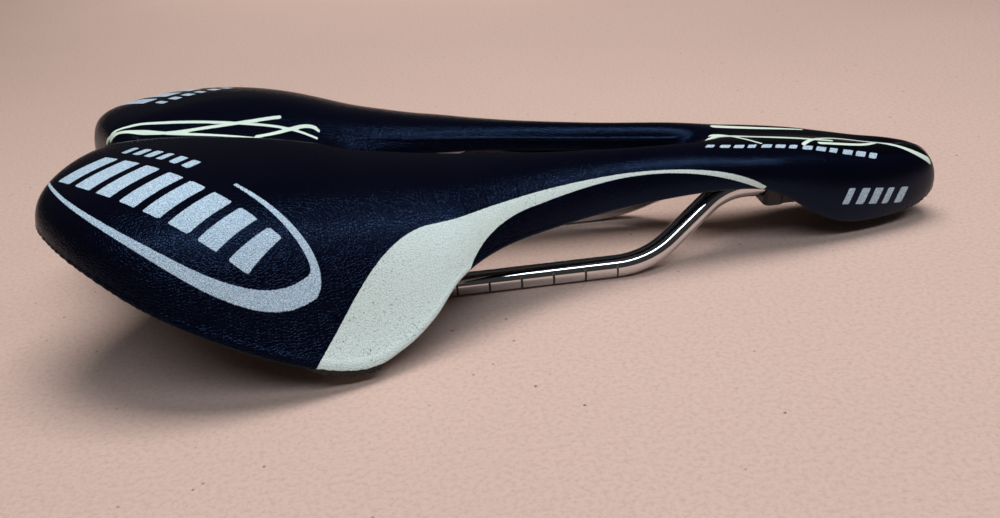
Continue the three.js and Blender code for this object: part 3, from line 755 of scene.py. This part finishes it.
def build_shell():
    form = Form(stations(16))
    lip = form.lip_start()
    outer_part = tuple(c[:, 1:] for c in form.outer(SHELL_OUT, 60))
    outer = join(form.inner(SHELL_OUT, 8, lip, False), outer_part)
    inner_part = tuple(c[:, 1:] for c in form.outer(SHELL_IN, 60))
    inner = join(form.inner(SHELL_IN, 8, lip, False), inner_part)

    def ribs(points):
        x, y, z = points[..., 0], points[..., 1], points[..., 2]
        long_rib = sum(np.exp(-((y - line) / RIB_WIDTH) ** 4) for line in RIB_LINES)
        cross_rib = sum(np.exp(-((x - line) / RIB_WIDTH) ** 4) for line in RIB_CROSS)
        long_rib = long_rib * np.clip((x - 46) / 3, 0, 1) * np.clip((86 - x) / 3, 0, 1)
        cross_rib = cross_rib * np.clip((y - 27.5) / 2, 0, 1) * np.clip((49 - y) / 2, 0, 1)
        clear_of_hem = np.clip((z - (form.ez + HEM + 1.5)) / 2, 0, 1)
        return push_out(points, -RIB_HEIGHT * np.clip(long_rib + cross_rib, 0, 1) * clear_of_hem)

    obj = sheet_mesh("shell_moulding", form, outer, inner, inner_relief=ribs)
    # shell tone 0.008: black nylon, made darker still as painted shade for the shaded underside
    return finish_piece(obj, nylon_material("shell_nylon", 0.008, 0.42), "shell", "shell")


RAIL_CORNERS = [((24, 28.8, 39.8), 0), ((52, 22, 3.5), 22), ((172, 22, 3.5), 30), ((200, 8.2, 19.6), 24),
                ((234, 4.5, 18.0), 0)]


def bent_path(corners, steps=18, straight=3.0):
    """Straight runs joined by round bends, as points a few millimetres apart."""
    pts = [np.array(c[0], float) for c in corners]
    out = [pts[0]]
    for i in range(1, len(pts) - 1):
        u = (pts[i - 1] - pts[i]) / np.linalg.norm(pts[i - 1] - pts[i])
        v = (pts[i + 1] - pts[i]) / np.linalg.norm(pts[i + 1] - pts[i])
        half = math.acos(np.clip(u @ v, -1, 1)) / 2
        r = corners[i][1]
        mid = (u + v) / np.linalg.norm(u + v)
        centre = pts[i] + mid * r / math.sin(half)
        a, b = pts[i] + u * r / math.tan(half) - centre, pts[i] + v * r / math.tan(half) - centre
        turn = math.acos(np.clip(a @ b / r / r, -1, 1))
        start = centre + a
        gap = np.linalg.norm(start - out[-1])
        for k in range(1, int(gap // straight)):
            out.append(out[-1] + (start - out[-1]) / np.linalg.norm(start - out[-1]) * straight)
        for k in range(steps + 1):
            f = k / steps
            out.append(centre + (a * math.sin((1 - f) * turn) + b * math.sin(f * turn)) / math.sin(turn))
    gap = np.linalg.norm(pts[-1] - out[-1])
    d = (pts[-1] - out[-1]) / gap
    base = out[-1]
    for k in range(1, int(gap // straight)):
        out.append(base + d * straight * k)
    out.append(pts[-1])
    return np.array(out)


def tube(path, radius, sides, taper=0.6):
    """Points and faces of a round bar along a path, with chamfered ends."""
    tangent = np.gradient(path, axis=0)
    tangent /= np.linalg.norm(tangent, axis=1, keepdims=True)
    side = np.cross([0, 0, 1], tangent)
    side /= np.linalg.norm(side, axis=1, keepdims=True)
    up = np.cross(tangent, side)
    radii = np.full(len(path), radius)
    p, r, s, u = list(path), list(radii), list(side), list(up)
    r[0], r[-1] = radius - taper, radius - taper
    p.insert(1, path[0] + tangent[0] * taper)
    p.insert(-1, path[-1] - tangent[-1] * taper)
    r.insert(1, radius)
    r.insert(-1, radius)
    s.insert(1, side[0])
    s.insert(-1, side[-1])
    u.insert(1, up[0])
    u.insert(-1, up[-1])
    ang = np.arange(sides) * 2 * np.pi / sides
    cos, sin = np.cos(ang)[:, None], np.sin(ang)[:, None]
    rings = [c + rad * (cos * a + sin * b) for c, rad, a, b in zip(p, r, s, u)]
    verts = np.concatenate(rings)
    polys = []
    for i in range(len(rings) - 1):
        for k in range(sides):
            n = (k + 1) % sides
            polys.append([i * sides + k, i * sides + n, (i + 1) * sides + n, (i + 1) * sides + k])
    polys.append(list(range(sides))[::-1])
    polys.append(list(range((len(rings) - 1) * sides, len(rings) * sides)))
    return verts, polys


def build_rail(side):
    path = bent_path(RAIL_CORNERS, 18, 1.0)
    verts, polys = tube(path, RAIL_R, RAIL_SIDES)
    if side < 0:
        verts = verts * [1, -1, 1]
        polys = [p[::-1] for p in polys]
    name = "rail_bar_left" if side > 0 else "rail_bar_right"
    obj = mesh_object(name, verts, polys)
    x, z = verts[:, 0], verts[:, 2]
    d = np.full(len(verts), 9.0)
    outward = np.abs(verts[:, 1]) - 22.0
    for tick_x in np.arange(TICK_FIRST, TICK_LAST + 1, TICK_STEP):
        long_mark = (tick_x - TICK_FIRST) % 50 == 0
        reach = np.maximum(np.abs(z - 2.9) - (2.7 if long_mark else 2.2), -outward)
        d = np.minimum(d, np.maximum(np.abs(x - tick_x) - (0.6 if long_mark else 0.42), reach))
    put_attribute(obj, "tick", np.clip(d, -9, 9))
    return finish_piece(obj, rail_mat, "rail", "rail_left" if side > 0 else "rail_right")


rail_mat = rail_material()
cover = build_cover()
padding = build_padding()
dark_lip_mat = dark_lip_material()
build_dark_lip()
build_shell()
for s in (1, -1):
    build_rail(s)

# holder tone 0.010: black nylon, made darker still as painted shade under the nose
holder_mat = nylon_material("holder_nylon", 0.010, 0.5, 0.6)
steel_mat = steel_material("screw_steel")
staple_mat = steel_material("staple_wire", (0.6, 0.6, 0.6), 0.25)
rubber_mat = rubber_material()
for node_name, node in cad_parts.items():
    if node_name.startswith(("nose_block", "rear_clip")):
        mat = holder_mat
    elif node_name.startswith(("nose_screw", "clip_screw")):
        mat = steel_mat
    elif node_name.startswith("staple"):
        mat = staple_mat
    elif node_name.startswith("rear_sleeve"):
        mat = rubber_mat
    else:
        continue
    for k in range(max(1, len(node.material_slots))):
        if not node.material_slots:
            node.data.materials.append(mat)
        else:
            node.material_slots[k].material = mat

# ---------------------------------------------------------------------------
# Floor, light and camera


def floor():
    size = 6.0      # half of each side, in metres
    corners = [(-size, -size, 0), (size, -size, 0), (size, size, 0), (-size, size, 0)]
    mesh = bpy.data.meshes.new("floor")
    mesh.from_pydata(corners, [], [(0, 1, 2, 3)])
    obj = bpy.data.objects.new("floor", mesh)
    bpy.context.scene.collection.objects.link(obj)
    m = Nodes("floor_card")
    fibre = m.noise(700, 4, 0.75)
    broad = m.noise(7, 3, 0.5)
    tone = m.mix(broad, (0.61, 0.425, 0.355), (0.67, 0.475, 0.395))
    tone = m.mix(m.math("MULTIPLY", m.step(fibre, 0.45, 0.72), 0.55), tone, (0.42, 0.27, 0.21))
    fleck = m.step(m.voronoi(160), 0.09, 0.05)
    tone = m.mix(m.math("MULTIPLY", fleck, m.step(m.noise(150, 1), 0.5, 0.62)), tone, (0.20, 0.13, 0.10))
    m.set(Base_Color=tone, Roughness=0.85, Normal=m.bump(fibre, 0.0002, 0.35))
    mesh.materials.append(m.mat)


def area(name, where, target, size, power, colour, size_y=None):
    light = bpy.data.lights.new(name, "AREA")
    light.shape = "RECTANGLE"
    light.size, light.size_y = size, size_y or size
    light.energy, light.color = power, colour
    obj = bpy.data.objects.new(name, light)
    obj.location = where
    obj.rotation_euler = (Vector(target) - Vector(where)).to_track_quat("-Z", "Y").to_euler()
    bpy.context.scene.collection.objects.link(obj)
    return obj


def background_wash():
    """Lights the floor behind the saddle only."""
    light = bpy.data.lights.new("background_wash", "SPOT")
    light.energy, light.spot_size, light.spot_blend = 26.0, math.radians(75), 1.0
    light.shadow_soft_size = 0.2
    obj = bpy.data.objects.new("background_wash", light)
    obj.location = (0, 0.45, 0.9)
    obj.rotation_euler = (Vector((0, 0.95, 0)) - obj.location).to_track_quat("-Z", "Y").to_euler()
    bpy.context.scene.collection.objects.link(obj)


CAMERA_AZ, CAMERA_EL, CAMERA_ROLL = -4.7, 26.2, -4.55      # degrees
CAMERA_BACK, CAMERA_RIGHT, CAMERA_UP = 323.4, -8.2, -20.3   # millimetres from CAMERA_AIM
CAMERA_AIM = (137.5, 0, 20)


def camera():
    az, el, roll = math.radians(CAMERA_AZ), math.radians(CAMERA_EL), math.radians(CAMERA_ROLL)
    back = Vector((math.sin(az) * math.cos(el), -math.cos(az) * math.cos(el), math.sin(el)))
    right = Vector((math.cos(az), math.sin(az), 0))
    up = back.cross(right)
    cos, sin = math.cos(roll), math.sin(roll)
    right, up = right * cos + up * sin, up * cos - right * sin
    aim = Vector((CAMERA_AIM[0] + X_SHIFT, CAMERA_AIM[1], CAMERA_AIM[2]))
    place = aim + back * CAMERA_BACK + right * CAMERA_RIGHT + up * CAMERA_UP
    cam = bpy.data.cameras.new("camera")
    cam.sensor_width, cam.lens = 36, 36
    cam.shift_y = 0.0031
    cam.clip_start, cam.clip_end = 0.01, 50
    obj = bpy.data.objects.new("camera", cam)
    rot = Matrix((right, up, back)).transposed()
    obj.matrix_world = Matrix.Translation(place * MM) @ rot.to_4x4()
    bpy.context.scene.collection.objects.link(obj)
    bpy.context.scene.camera = obj


floor()
KEY_PLACE, KEY_AIM, KEY_COLOUR = (0.04, 0.12, 0.85), (0, 0, 0.03), (0.97, 0.98, 1.0)
key = area("key_overhead", KEY_PLACE, KEY_AIM, 0.60, 6.1, KEY_COLOUR, 0.45)
# The key only shades: gloss reflections don't see it. Its weaker twin in the same place and the
# front strip give the gloss, so the leather reads darker than it would under one plain light.
key.visible_glossy = False
area("key_gloss", KEY_PLACE, KEY_AIM, 0.60, 1.4, KEY_COLOUR, 0.45)
area("front_strip", (0.10, -0.50, 0.72), (0.03, 0, 0.03), 1.1, 3.6, (0.80, 0.90, 1.0), 0.13)
background_wash()
bpy.context.scene.view_settings.view_transform = "Standard"
world = bpy.data.worlds.new("studio")
bpy.context.scene.world = world
world.use_nodes = True
world.node_tree.nodes["Background"].inputs["Color"].default_value = (0.92, 0.88, 0.86, 1)
world.node_tree.nodes["Background"].inputs["Strength"].default_value = 0.045
camera()
